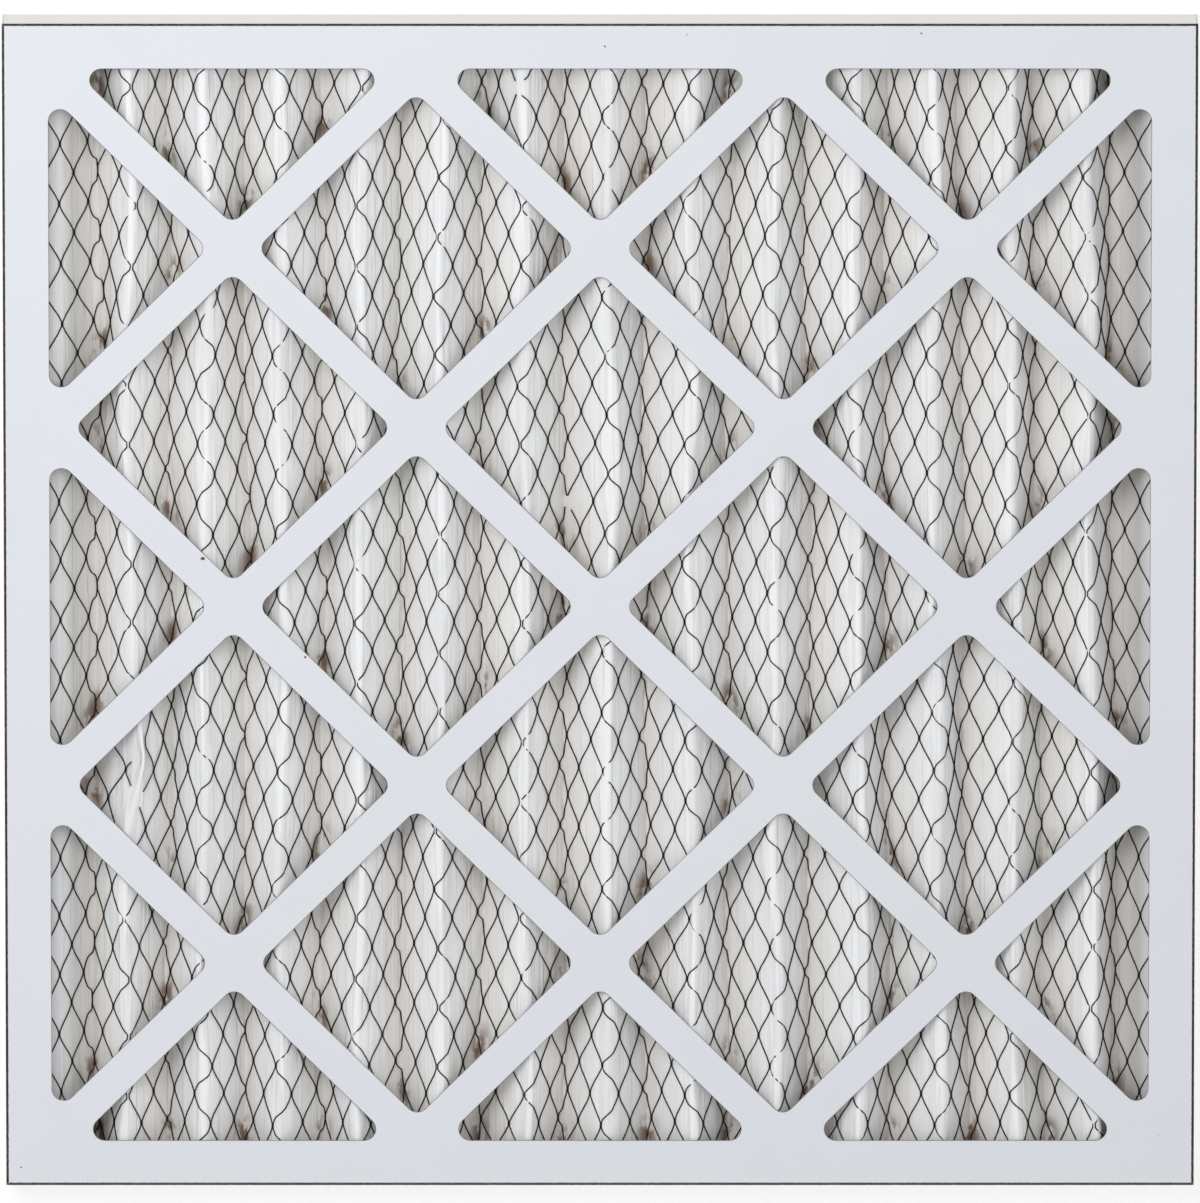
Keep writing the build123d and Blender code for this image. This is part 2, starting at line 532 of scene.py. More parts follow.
class NodeGraph:
    """A node tree that is written in code."""

    def __init__(self, tree: bpy.types.NodeTree) -> None:
        """Takes the tree that the nodes go into."""
        self.tree = tree

    def node(self, kind: str, *values: Value | Feeds, **settings: str) -> bpy.types.Node:
        """Adds a node.

        Args:
            kind: Blender's name of the node.
            values: Values or links for its first inputs, or one dictionary
                that gives them by the inputs' names or numbers.
            settings: The node's own settings.

        Returns:
            The node.
        """
        node = self.tree.nodes.new(kind)
        for key, value in settings.items():
            setattr(node, key, value)
        named = bool(values) and isinstance(values[0], dict)
        for key, value in (values[0] if named else dict(enumerate(values))).items():
            feed(self.tree, node.inputs[key], value)
        return node

    def made(self, kind: str, *values: Value | Feeds, **settings: str) -> bpy.types.NodeSocket:
        """The first output of a new node."""
        return self.node(kind, *values, **settings).outputs[0]

    def math(self, operation: str, *values: Value) -> bpy.types.NodeSocket:
        """The result of one sum."""
        return self.made("ShaderNodeMath", *values, operation=operation)

    def product(self, first: Value, *others: Value) -> bpy.types.NodeSocket:
        """Some values multiplied together.

        Args:
            first: The first value.
            others: The values that it is multiplied by.

        Returns:
            The product.
        """
        for other in others:
            first = self.math("MULTIPLY", first, other)
        return first

    def scaled(self, vector: Value, factor: Value) -> bpy.types.NodeSocket:
        """A vector made longer, or a colour made lighter, by a factor."""
        return self.made("ShaderNodeVectorMath", {0: vector, "Scale": factor}, operation="SCALE")


class ShaderGraph(NodeGraph):
    """One material and the nodes that paint it."""

    def __init__(self, name: str) -> None:
        """Starts a material with its shader and its object coordinates.

        Args:
            name: The material's name.
        """
        self.material = bpy.data.materials.new(name)
        self.material.use_nodes = True
        super().__init__(self.material.node_tree)
        self.shader = self.tree.nodes["Principled BSDF"]
        self.place = self.node("ShaderNodeTexCoord").outputs["Object"]

    def split(self, vector: bpy.types.NodeSocket) -> list[bpy.types.NodeSocket]:
        """The x, y and z of a vector."""
        return list(self.node("ShaderNodeSeparateXYZ", vector).outputs)

    def rise(self, value: Value, low: float, high: float) -> bpy.types.NodeSocket:
        """Nought below low and one above high, with a smooth step between."""
        return self.made("ShaderNodeMapRange", value, low, high, interpolation_type="SMOOTHSTEP")

    def fall(self, value: Value, low: float, high: float) -> bpy.types.NodeSocket:
        """One below low and nought above high, with a smooth step between."""
        return self.math("SUBTRACT", 1.0, self.rise(value, low, high))

    def noise(self, grain: Grain) -> bpy.types.NodeSocket:
        """Noise from nought to one, in the pattern of a grain.

        Args:
            grain: The pattern.

        Returns:
            The noise's value.
        """
        scale = tuple(1 / (MM * grain.size * stretch) for stretch in grain.stretch)
        place = self.made("ShaderNodeMapping", {"Vector": self.place, "Scale": scale})
        feeds = {"Vector": place, "Scale": 1.0, "Detail": grain.detail}
        return self.node("ShaderNodeTexNoise", feeds).outputs["Fac"]

    def around(self, middle: float, grain: Grain) -> bpy.types.NodeSocket:
        """Noise that swings round a middle value, in the pattern of a grain."""
        return self.math("MULTIPLY_ADD", self.noise(grain), 2 * grain.swing, middle - grain.swing)

    def blend(self, share: Value, first: Value, second: Value) -> bpy.types.NodeSocket:
        """A colour between two others, by the share of the second."""
        # The mix node has its number and vector sockets before its colour ones.
        feeds = {0: share, 6: first, 7: second}
        return self.node("ShaderNodeMix", feeds, data_type="RGBA").outputs[2]

    def bump(self, *layers: tuple[bpy.types.NodeSocket, float]) -> None:
        """Raises the shading by the sum of some layers.

        Args:
            layers: Each layer's height from nought to one, and how high one is.
        """
        total: Value = 0.0
        for height, size in layers:
            total = self.math("MULTIPLY_ADD", height, size, total)
        raised = self.made("ShaderNodeBump", {"Distance": MM, "Height": total})
        feed(self.tree, self.shader.inputs["Normal"], raised)

    def finish(self, colour: Value, roughness: Value, **sockets: float) -> bpy.types.Material:
        """Joins the colour and the gloss to the shader.

        Args:
            colour: Base colour.
            roughness: Roughness.
            sockets: The shader's other inputs, with _ for each space.

        Returns:
            The finished material.
        """
        for name, value in {"Base_Color": colour, "Roughness": roughness, **sockets}.items():
            feed(self.tree, self.shader.inputs[name.replace("_", " ")], value)
        return self.material


class GrowthRule(NodeGraph):
    """A Geometry Nodes tree, run once on a mesh and taken off again."""

    KINDS = {float: "NodeSocketFloat", int: "NodeSocketInt"}
    HAIR_STEPS = 4
    HAIR_SIDES = 3

    def __init__(self, name: str, **inputs: Value) -> None:
        """Starts a tree with its named inputs.

        Args:
            name: The tree's name.
            inputs: Each input's name, with _ for a space, and its value.
        """
        super().__init__(bpy.data.node_groups.new(name, "GeometryNodeTree"))
        self.values = {key.replace("_", " "): value for key, value in inputs.items()}
        face = self.tree.interface
        face.new_socket("Geometry", in_out="INPUT", socket_type="NodeSocketGeometry")
        for key, value in self.values.items():
            kind = self.KINDS.get(type(value), "NodeSocketMaterial")
            face.new_socket(key, in_out="INPUT", socket_type=kind)
        face.new_socket("Geometry", in_out="OUTPUT", socket_type="NodeSocketGeometry")
        self.given = self.node("NodeGroupInput").outputs

    def joined(self, x: Value, y: Value, z: Value) -> bpy.types.NodeSocket:
        """A vector from its x, y and z."""
        return self.made("ShaderNodeCombineXYZ", x, y, z)

    def attribute(self, name: str, kind: str = "FLOAT") -> bpy.types.NodeSocket:
        """A value stored on the mesh."""
        return self.made("GeometryNodeInputNamedAttribute", {"Name": name}, data_type=kind)

    def random(self, low: Value, high: Value, number: int) -> bpy.types.NodeSocket:
        """Random numbers or vectors, different for each element.

        Args:
            low: The lowest value.
            high: The highest value.
            number: The seed's distance from the tree's own seed.

        Returns:
            The random value.
        """
        # The node has its vector sockets before its number ones.
        kind, first, result = ("FLOAT_VECTOR", 0, 0) if isinstance(low, tuple) else ("FLOAT", 2, 1)
        feeds = {first: low, first + 1: high, "Seed": self.math("ADD", self.given["Seed"], number)}
        return self.node("FunctionNodeRandomValue", feeds, data_type=kind).outputs[result]

    def tube(self, line: Value, radius: Value, sides: Value) -> bpy.types.NodeSocket:
        """A closed tube round a line.

        Args:
            line: The line.
            radius: Radius of the tube.
            sides: How many sides it has.

        Returns:
            The tube's mesh.
        """
        ring = self.made("GeometryNodeCurvePrimitiveCircle", {"Resolution": sides, "Radius": radius})
        feeds = {"Curve": line, "Profile Curve": ring, "Fill Caps": True}
        return self.made("GeometryNodeCurveToMesh", feeds)

    def hair(self, length: Value, radius: Value, bow: float) -> bpy.types.NodeSocket:
        """One bent fibre that lies along X.

        Args:
            length: Its length.
            radius: Its radius.
            bow: How far it bends, as a share of its length.

        Returns:
            The fibre's mesh.
        """
        half = self.product(length, 0.5)
        feeds = {
            "Resolution": self.HAIR_STEPS,
            "Start": self.joined(self.product(half, -1.0), 0.0, 0.0),
            "Middle": self.joined(0.0, self.product(length, bow), 0.0),
            "End": self.joined(half, 0.0, 0.0),
        }
        line = self.made("GeometryNodeCurveQuadraticBezier", feeds)
        return self.tube(line, radius, self.HAIR_SIDES)

    def close(self, geometry: bpy.types.NodeSocket) -> None:
        """Ends the tree with real geometry, shaded smooth, and its material.

        Args:
            geometry: What the tree has made.
        """
        feeds = {"Geometry": geometry, "Shade Smooth": True}
        shaded = self.made("GeometryNodeSetShadeSmooth", feeds)
        real = self.made("GeometryNodeRealizeInstances", {"Geometry": shaded})
        feeds = {"Geometry": real, "Material": self.given["Material"]}
        self.node("NodeGroupOutput", {"Geometry": self.made("GeometryNodeSetMaterial", feeds)})

    def grow(self, name: str, source: bpy.types.Mesh) -> bpy.types.Object:
        """Runs the tree.

        Args:
            name: The new piece's name.
            source: The mesh that the tree starts from.

        Returns:
            The piece, as a plain mesh with no modifier.
        """
        piece = placed(name, source)
        modifier = piece.modifiers.new(self.tree.name, "NODES")
        modifier.node_group = self.tree
        for item in self.tree.interface.items_tree:
            if item.in_out == "INPUT" and item.name in self.values:
                modifier[item.identifier] = self.values[item.name]
        piece.update_tag()
        depsgraph = bpy.context.evaluated_depsgraph_get()
        grown = bpy.data.meshes.new_from_object(piece.evaluated_get(depsgraph))
        piece.modifiers.remove(modifier)
        piece.data = grown
        grown.name = name
        return piece


# ---- Finishes -------------------------------------------------------------------------
class Tray(Enum):
    """The two board trays, by their CAD node."""

    FRONT = "front_tray"
    REAR = "rear_tray"


@dataclass(frozen=True)
class CoatedBoard:
    """Clay-coated chipboard: bluish white outside, grey-brown inside and at cuts, with painted light
    on the side walls and painted shade in the gap between the trays.
    """

    panel: PanelSizes
    coat: Colour = (0.728, 0.756, 0.802)
    # Painted light: the side walls get a lighter, warmer copy of the coat than the face.
    wall_coat_painted_light: Colour = (0.85, 0.835, 0.79)
    inside: Colour = (0.47, 0.42, 0.36)
    cut: Colour = (0.30, 0.255, 0.21)
    # Raw board edge darkened near black: partly its own colour, partly painted shade of the gap
    # between the trays.
    rim_and_gap_shade: Colour = (0.030, 0.020, 0.015)
    worn_rim: Colour = (0.11, 0.075, 0.055)
    roughness: float = 0.52
    steepest_upright: float = 0.4
    flattest_slope: float = 0.6
    wall_zone: float = 3.0
    # Width of the painted shade along the front tray's edge, where it turns down into the gap.
    gap_shade: float = 1.05
    gap_shade_strength: float = 0.9
    rim_depth: float = 0.05
    clouds: Grain = Grain(26.0, detail=3.0, swing=0.0175)
    flock: Grain = Grain(1.1, (1, 1.6, 1), swing=0.015)
    gap_shade_rag: Grain = Grain(1.6, swing=0.2 * MM)
    rim_wear: Grain = Grain(2.0)
    rim_wear_edge: Span = (0.5, 0.65)
    cut_fibres: Grain = Grain(0.5, (1, 1, 0.4), 3.0, swing=0.5)
    tooth: Grain = Grain(0.35, swing=0.012)
    ripples: Grain = Grain(3.0, swing=0.015)

    def material(self, tray: Tray) -> bpy.types.Material:
        """The board's material on one tray.

        Args:
            tray: Which tray wears it.

        Returns:
            The material.
        """
        graph = ShaderGraph(f"coated_board_{tray.name.lower()}")
        x, y, z = graph.split(graph.place)
        nx, ny, nz = graph.split(graph.node("ShaderNodeNewGeometry").outputs["True Normal"])
        upright = graph.math("LESS_THAN", graph.math("ABSOLUTE", nz), self.steepest_upright)
        outwards = graph.math("ADD", graph.product(x, nx), graph.product(y, ny))
        reach = graph.math("MAXIMUM", graph.math("ABSOLUTE", x), graph.math("ABSOLUTE", y))
        half = min(self.panel.face_width, self.panel.face_height) / 2
        wall = graph.math("GREATER_THAN", reach, MM * (half - self.wall_zone))
        outer = graph.product(upright, wall)
        # Painted light: the upright outer walls take the lighter wall coat.
        coats = (self._mottled(graph, coat) for coat in (self.coat, self.wall_coat_painted_light))
        colour = graph.blend(outer, *coats)
        hidden = graph.product(outer, graph.math("LESS_THAN", outwards, 0.0))
        colour = graph.blend(hidden, colour, self.inside)
        up = graph.math("GREATER_THAN", nz, self.flattest_slope)
        if tray is Tray.FRONT:
            down = graph.math("LESS_THAN", nz, -self.flattest_slope)
            colour = graph.blend(down, colour, self.inside)
            # Painted shade: a ragged dark band along the front tray's outer edge, in the gap between
            # the trays.
            ragged = graph.around(MM * (half - self.gap_shade), self.gap_shade_rag)
            gap_shade = graph.math("GREATER_THAN", reach, ragged)
            colour = graph.blend(graph.product(gap_shade, self.gap_shade_strength), colour, self.rim_and_gap_shade)
        else:
            colour = graph.blend(up, colour, self.inside)
            # The rear tray's rim: its raw edge, darkened as painted shade of the gap, with patches of
            # real wear.
            top = graph.math("GREATER_THAN", z, MM * (self.panel.depth - self.rim_depth))
            worn = graph.rise(graph.noise(self.rim_wear), *self.rim_wear_edge)
            rim_edge_and_gap_shade = graph.blend(worn, self.rim_and_gap_shade, self.worn_rim)
            colour = graph.blend(graph.product(up, top), colour, rim_edge_and_gap_shade)
        window = graph.product(upright, graph.math("SUBTRACT", 1.0, wall))
        cut = graph.scaled(self.cut, graph.around(1.0, self.cut_fibres))
        colour = graph.blend(window, colour, cut)
        graph.bump(*((graph.noise(grain), grain.swing) for grain in (self.tooth, self.ripples)))
        return graph.finish(colour, self.roughness, Specular_IOR_Level=0.35)

    def _mottled(self, graph: ShaderGraph, colour: Colour) -> bpy.types.NodeSocket:
        """The coating's colour with the faint mottle of chipboard under it."""
        clouds, flock = graph.around(1.0, self.clouds), graph.around(1.0, self.flock)
        return graph.scaled(colour, graph.product(clouds, flock))


@dataclass(frozen=True)
class Nonwoven:
    """Off-white lofted media, with a painted highlight on the ridges and painted shade down in the
    pleats, on the end flaps and under the lattice bars.
    """

    panel: PanelSizes
    dent: Dent
    # Painted highlight: the crests and the dent's facet a little lighter and whiter than the walls.
    ridge_highlight: Colour = (0.865, 0.875, 0.89)
    wall: Colour = (0.855, 0.845, 0.835)
    wall_cool: Colour = (0.85, 0.865, 0.875)
    # Painted shade: darker and browner deep in the pleats.
    valley_shade: Colour = (0.74, 0.71, 0.68)
    # Painted shade on the end flaps beside the frame, lighter towards the frame edge.
    flap_shade: Colour = (0.45, 0.44, 0.425)
    flap_edge_shade: Colour = (0.76, 0.77, 0.785)
    # Painted shade under the lattice bars, dark brown.
    bar_shade: Colour = (0.22, 0.14, 0.095)
    roughness: float = 0.95
    cool_patches: Grain = Grain(40.0, (1, 2.2, 1), 1.0)
    cool_edge: Span = (0.40, 0.60)
    flap_shift: float = 2.5
    flap_shade_zone: Span = (210.0, 215.0)
    flap_edge_shade_zone: Span = (220.0, 227.0)
    valley_shade_zone: Span = (0.1, 0.75)
    valley_shade_strength: float = 0.8
    crest_rag: Grain = Grain(3.0, (1, 14, 1), swing=0.15)
    crest_zone: Span = (0.66, 0.90)
    # Where the painted highlight on the dent's bright facet lies.
    dent_highlight_shift: float = -2.0
    dent_highlight_length: float = 0.32
    dent_highlight_zone: Span = (0.4, 0.9)
    bar_shade_spots: Grain = Grain(7.0, (0.6, 1.3, 1), 3.0)
    bar_shade_edge: Span = (0.45, 0.58)
    bar_shade_zone: Span = (0.16, 0.42)
    bar_shade_strength: float = 0.95
    bar_shade_past_bar: Span = (1.0, 8.0)
    bar_shade_past_border: Span = (2.0, 9.0)
    streaks: Grain = Grain(1.3, (1, 60, 1), swing=0.22)
    streak_shade: Span = (0.10, 0.93)
    # Bands of painted highlight and shade along the crests.
    bands: Grain = Grain(3.2, (1, 26, 1), 1.0, swing=0.16)
    band_edge: Span = (0.46, 0.54)
    band_shade: float = 0.10
    fibres: Grain = Grain(0.45, (1, 2.5, 1), 3.0, swing=0.06)
    pillows: Grain = Grain(7.0, (1, 2.4, 1), 1.0, swing=1.1)

    def material(self) -> bpy.types.Material:
        """The media's material.

        Returns:
            The material.
        """
        graph = ShaderGraph("nonwoven_media")
        x, y, z = graph.split(graph.place)
        front = graph.node("ShaderNodeAttribute", attribute_name="front").outputs["Fac"]
        height = self._height(graph, z, front)
        cool = graph.rise(graph.noise(self.cool_patches), *self.cool_edge)
        colour = graph.blend(cool, self.wall, self.wall_cool)
        # Painted shade on the end flaps, darkest by the last valley.
        reach = graph.math("ABSOLUTE", graph.math("SUBTRACT", x, MM * self.flap_shift))
        colour = graph.blend(graph.rise(reach, *metres(self.flap_shade_zone)), colour, self.flap_shade)
        # Painted shade deep in the pleats, by the media's height.
        valley_shade_share = graph.product(graph.fall(height, *self.valley_shade_zone), self.valley_shade_strength)
        colour = graph.blend(valley_shade_share, colour, self.valley_shade)
        # The painted flap shade turns lighter towards the frame edge.
        edge = graph.rise(reach, *metres(self.flap_edge_shade_zone))
        colour = graph.blend(edge, colour, self.flap_edge_shade)
        # Painted highlight on the crests, with a ragged edge.
        ragged = graph.math("ADD", height, graph.around(0.0, self.crest_rag))
        crest = graph.rise(ragged, *self.crest_zone)
        crest = graph.math("MAXIMUM", crest, self._dent_highlight(graph))
        colour = graph.blend(crest, colour, self.ridge_highlight)
        # Painted shade, in blotchy dark brown patches deep in the pleats just under the edges of the
        # lattice bars and of the lower border.
        spots = graph.rise(graph.noise(self.bar_shade_spots), *self.bar_shade_edge)
        low_down = graph.fall(height, *self.bar_shade_zone)
        under = self._under_bars(graph, x, y)
        bar_shade_share = graph.product(spots, low_down, under, front, self.bar_shade_strength)
        colour = graph.blend(bar_shade_share, colour, self.bar_shade)
        streak = graph.noise(self.streaks)
        band = graph.rise(graph.noise(self.bands), *self.band_edge)
        lined = graph.math("MULTIPLY_ADD", streak, *self.streak_shade)
        # Painted highlight and shade: lighter and darker bands along the crests, standing in for
        # facets that catch the light unevenly.
        banded = graph.product(graph.math("SUBTRACT", band, 0.5), crest, self.band_shade)
        colour = graph.scaled(colour, graph.math("ADD", lined, banded))
        graph.bump(
            (graph.noise(self.fibres), self.fibres.swing),
            (streak, self.streaks.swing),
            (band, self.bands.swing),
            (graph.noise(self.pillows), self.pillows.swing),
        )
        return graph.finish(
            colour, self.roughness, Specular_IOR_Level=0.15, Sheen_Weight=0.08, Sheen_Roughness=0.6
        )

    def _height(
        self, graph: ShaderGraph, z: bpy.types.NodeSocket, front: bpy.types.NodeSocket
    ) -> bpy.types.NodeSocket:
        """How near a crest the media is, seen from its own side.

        Args:
            graph: The media's shader graph.
            z: Height above the air-entering face.
            front: One on the air-leaving side of the media, nought on its rear.

        Returns:
            Nought in the deepest pleat and one on the highest crest.
        """
        span = metres((self.panel.pack_bottom, self.panel.pack_top))
        height = graph.made("ShaderNodeMapRange", z, *span)
        sense = graph.math("MULTIPLY_ADD", front, 2.0, -1.0)
        return graph.math("MULTIPLY_ADD", height, sense, graph.math("SUBTRACT", 1.0, front))

    def _dent_highlight(self, graph: ShaderGraph) -> bpy.types.NodeSocket:
        """One on the dent's bright facet, where a painted highlight goes.

        Args:
            graph: The media's shader graph.

        Returns:
            The share, from nought to one.
        """
        squeeze = (1.0, self.dent_highlight_length, 0.0)
        place = graph.made("ShaderNodeVectorMath", graph.place, squeeze, operation="MULTIPLY")
        middle = (MM * (self.dent.x + self.dent_highlight_shift), MM * self.dent_highlight_length * self.dent.y, 0.0)
        far = graph.node("ShaderNodeVectorMath", place, middle, operation="DISTANCE").outputs["Value"]
        return graph.fall(far, *(MM * self.dent.spread * share for share in self.dent_highlight_zone))

    def _under_bars(
        self, graph: ShaderGraph, x: bpy.types.NodeSocket, y: bpy.types.NodeSocket
    ) -> bpy.types.NodeSocket:
        """One where painted shade falls on the media, under the upper edge of a lattice bar or of the
        lower border.

        Args:
            graph: The media's shader graph.
            x: Place across the pleats.
            y: Place along the pleats.

        Returns:
            The share, from nought to one.
        """
        panel = self.panel
        step = MM * (panel.face_width - 2 * panel.border) / panel.diamonds
        half_bar = panel.bar_width / 2
        low_edge = panel.border - panel.face_height / 2
        below = graph.fall(y, *metres([low_edge + past for past in self.bar_shade_past_border]))
        for sign in (1.0, -1.0):
            line = graph.math("DIVIDE", graph.math("MULTIPLY_ADD", x, sign, y), step)
            apart = graph.math("SUBTRACT", line, graph.math("ROUND", line))
            apart = graph.product(apart, step / math.sqrt(2))
            under = graph.rise(apart, 0.0, MM * half_bar)
            beyond = graph.rise(apart, *metres([half_bar + past for past in self.bar_shade_past_bar]))
            below = graph.math("MAXIMUM", below, graph.math("SUBTRACT", under, beyond))
        return below


@dataclass(frozen=True)
class DullMetal:
    """Fine expanded metal, gone nearly black."""

    dark: Colour = (0.017, 0.014, 0.012)
    worn: Colour = (0.050, 0.041, 0.034)
    roughness: float = 0.6
    wear: Grain = Grain(7.0, detail=3.0)
    wear_edge: Span = (0.5, 0.75)
    gloss: Grain = Grain(1.5, swing=0.1)
    tooth: Grain = Grain(0.3, swing=0.01)

    def material(self) -> bpy.types.Material:
        """The metal's material.

        Returns:
            The material.
        """
        graph = ShaderGraph("expanded_metal")
        worn = graph.rise(graph.noise(self.wear), *self.wear_edge)
        graph.bump((graph.noise(self.tooth), self.tooth.swing))
        return graph.finish(
            graph.blend(worn, self.dark, self.worn),
            graph.around(self.roughness, self.gloss),
            Metallic=0.35,
            Specular_IOR_Level=0.3,
        )


@dataclass(frozen=True)
class DriedGlue:
    """White glue, dried cream and a little glossy."""

    colour: Colour = (0.80, 0.77, 0.70)
    roughness: float = 0.4
    ripples: Grain = Grain(5.0, detail=3.0, swing=0.25)
    ripple_shade: Span = (0.2, 0.88)

    def material(self) -> bpy.types.Material:
        """The glue's material.

        Returns:
            The material.
        """
        graph = ShaderGraph("dried_glue")
        ripple = graph.noise(self.ripples)
        colour = graph.scaled(self.colour, graph.math("MULTIPLY_ADD", ripple, *self.ripple_shade))
        graph.bump((ripple, self.ripples.swing))
        return graph.finish(colour, self.roughness, Specular_IOR_Level=0.5)


@dataclass(frozen=True)
class Fibre:
    """Loose fibres and specks of one colour."""

    name: str
    colour: Colour
    roughness: float = 0.9
    mottle: Grain = Grain(2.0, swing=0.25)
    tooth: Grain = Grain(0.1, swing=0.01)

    def material(self) -> bpy.types.Material:
        """The fibres' material.

        Returns:
            The material.
        """
        graph = ShaderGraph(self.name)
        graph.bump((graph.noise(self.tooth), self.tooth.swing))
        colour = graph.scaled(self.colour, graph.around(1.0, self.mottle))
        return graph.finish(colour, self.roughness, Specular_IOR_Level=0.2)


# ---- Sub-assemblies ---------------------------------------------------------------------
def settle(piece: bpy.types.Object) -> bpy.types.Object:
    """Fixes a new piece to the filter's one body.

    Args:
        piece: The piece.

    Returns:
        The piece.
    """
    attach(piece, "root")
    triangles = sum(len(face.vertices) - 2 for face in piece.data.polygons)
    log.info("made %s, %d triangles", piece.name, triangles)
    return piece


@dataclass
class BoardTrays:
    """The nested trays, with what sits on their coated faces."""

    panel: PanelSizes
    corner_points: int = 8
    burr: float = 0.17
    burr_sides: int = 6
    burr_sunk: float = 0.8
    fuzz_seed: int = 5
    fuzz_per_metre: float = 55.0
    fuzz_missing: float = 0.45
    fuzz_length: float = 1.3
    fuzz_radius: float = 0.035
    fuzz_bow: float = 0.3
    fuzz_sizes: Span = (0.35, 1.25)
    fuzz_scatter: Triple = (0.3, 0.3, 0.1)
    fuzz_sunk: float = 0.2
    fuzz_tilt: float = 0.3
    speck_seed: int = 9
    stray_specks: int = 26
    stray_radius: Span = (0.08, 0.2)
    stray_margin: Span = (2.0, 3.0)
    speck_lengths: Span = (0.5, 1.2)
    speck_widths: Span = (0.35, 0.8)
    speck_height: float = 0.25
    specks: tuple[Spot, ...] = (
        Spot(2.0, 238.0, 0.55),
        Spot(36.0, 243.0, 0.4),
        Spot(133.0, 243.5, 0.5),
        Spot(-165.0, 20.5, 0.95),
        Spot(-122.5, -21.5, 0.6),
        Spot(-241.5, -240.0, 0.5),
        Spot(-246.9, 246.9, 0.6),
    )

    def dress(self) -> None:
        """Gives both trays their board."""
        finish = CoatedBoard(self.panel)
        for tray in Tray:
            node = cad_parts[tray.value]
            node.material_slots[0].material = finish.material(tray)
            log.info("dressed %s", tray.value)

    def outlines(self, level: float) -> bpy.types.Mesh:
        """The window outlines with sharp corners.

        Args:
            level: Height of the outlines.

        Returns:
            A mesh of closed polygons with no faces.
        """
        points, edges = [], []
        for corners in self.panel.windows():
            first, count = len(points), len(corners)
            edges += [(first + i, first + (i + 1) % count) for i in range(count)]
            points += [(*corner, level) for corner in corners]
        return plain_mesh("window_outlines", points, edges)

    def _rounded(self, rule: GrowthRule) -> bpy.types.NodeSocket:
        """The outlines as curves with rounded corners, inside a tree.

        Args:
            rule: The tree, which has the outlines and a corner radius as inputs.

        Returns:
            The curves.
        """
        curve = rule.made("GeometryNodeMeshToCurve", {"Mesh": rule.given["Geometry"]})
        corner = {"Radius": rule.given["Corner radius"], "Count": self.corner_points}
        feeds = {"Curve": curve, "Limit Radius": True, **corner}
        return rule.made("GeometryNodeFilletCurve", feeds, mode="POLY")

    def lip(self) -> bpy.types.Object:
        """The grey burr that the die leaves round every window.

        Returns:
            The piece.
        """
        rule = GrowthRule(
            "die_cut_lip",
            Corner_radius=self.panel.window_radius * MM,
            Burr=self.burr * MM,
            Material=Fibre("raw_board_edge", (0.30, 0.27, 0.245)).material(),
        )
        rule.close(rule.tube(self._rounded(rule), rule.given["Burr"], self.burr_sides))
        level = self.panel.depth - self.burr * self.burr_sunk
        return settle(rule.grow("die_cut_lip", self.outlines(level)))

    def fuzz(self) -> bpy.types.Object:
        """Paper fibres that the die has left standing at the window edges.

        Returns:
            The piece.
        """
        rule = GrowthRule(
            "die_cut_fuzz",
            Corner_radius=self.panel.window_radius * MM,
            Per_metre=self.fuzz_per_metre,
            Length=self.fuzz_length * MM,
            Radius=self.fuzz_radius * MM,
            Seed=self.fuzz_seed,
            Material=Fibre("paper_fibre", (0.55, 0.50, 0.45)).material(),
        )
        spacing = rule.math("DIVIDE", 1.0, rule.given["Per metre"])
        feeds = {"Curve": self._rounded(rule), "Length": spacing}
        points = rule.node("GeometryNodeCurveToPoints", feeds, mode="LENGTH").outputs["Points"]
        back = tuple(-slip for slip in self.fuzz_scatter)
        slipped = rule.scaled(rule.random(back, self.fuzz_scatter, 1), MM)
        tilt = self.fuzz_tilt
        feeds = {
            "Points": rule.made("GeometryNodeSetPosition", {"Geometry": points, "Offset": slipped}),
            "Selection": rule.math("GREATER_THAN", rule.random(0.0, 1.0, 4), self.fuzz_missing),
            "Instance": rule.hair(rule.given["Length"], rule.given["Radius"], self.fuzz_bow),
            "Rotation": rule.random((-tilt, -tilt, 0.0), (tilt, tilt, FULL_TURN), 2),
            "Scale": rule.random(*self.fuzz_sizes, 3),
        }
        rule.close(rule.made("GeometryNodeInstanceOnPoints", feeds))
        level = self.panel.depth - self.fuzz_sunk
        return settle(rule.grow("die_cut_fuzz", self.outlines(level)))

    def dust(self) -> bpy.types.Object:
        """Specks of dust on the coated face.

        Returns:
            The piece.
        """
        rng = np.random.default_rng(self.speck_seed)
        outer, inner = self.stray_margin
        half, strip = self.panel.face_width / 2 - outer, self.panel.border - inner
        spots = [(spot.x, spot.y, spot.radius) for spot in self.specks]
        for _ in range(self.stray_specks):
            along, depth = rng.uniform(-half, half), half - rng.uniform(0, strip)
            sides = ((along, depth), (along, -depth), (depth, along), (-depth, along))
            spots.append((*sides[rng.integers(4)], rng.uniform(*self.stray_radius)))
        source = plain_mesh("speck_places", [(x, y, self.panel.depth) for x, y, _ in spots])
        store(source, "size", np.array([radius * MM for _, _, radius in spots]))
        material = Fibre("dust", (0.16, 0.12, 0.09)).material()
        rule = GrowthRule("dust_specks", Seed=self.speck_seed, Material=material)
        long, wide = rule.random(*self.speck_lengths, 1), rule.random(*self.speck_widths, 2)
        shape = rule.joined(long, wide, self.speck_height)
        feeds = {
            "Points": rule.made("GeometryNodeMeshToPoints", {"Mesh": rule.given["Geometry"]}),
            "Instance": rule.made("GeometryNodeMeshIcoSphere", {"Radius": 1.0, "Subdivisions": 2}),
            "Rotation": rule.random((0.0, 0.0, 0.0), (0.0, 0.0, FULL_TURN), 3),
            "Scale": rule.scaled(shape, rule.attribute("size")),
        }
        rule.close(rule.made("GeometryNodeInstanceOnPoints", feeds))
        return settle(rule.grow("dust_specks", source))


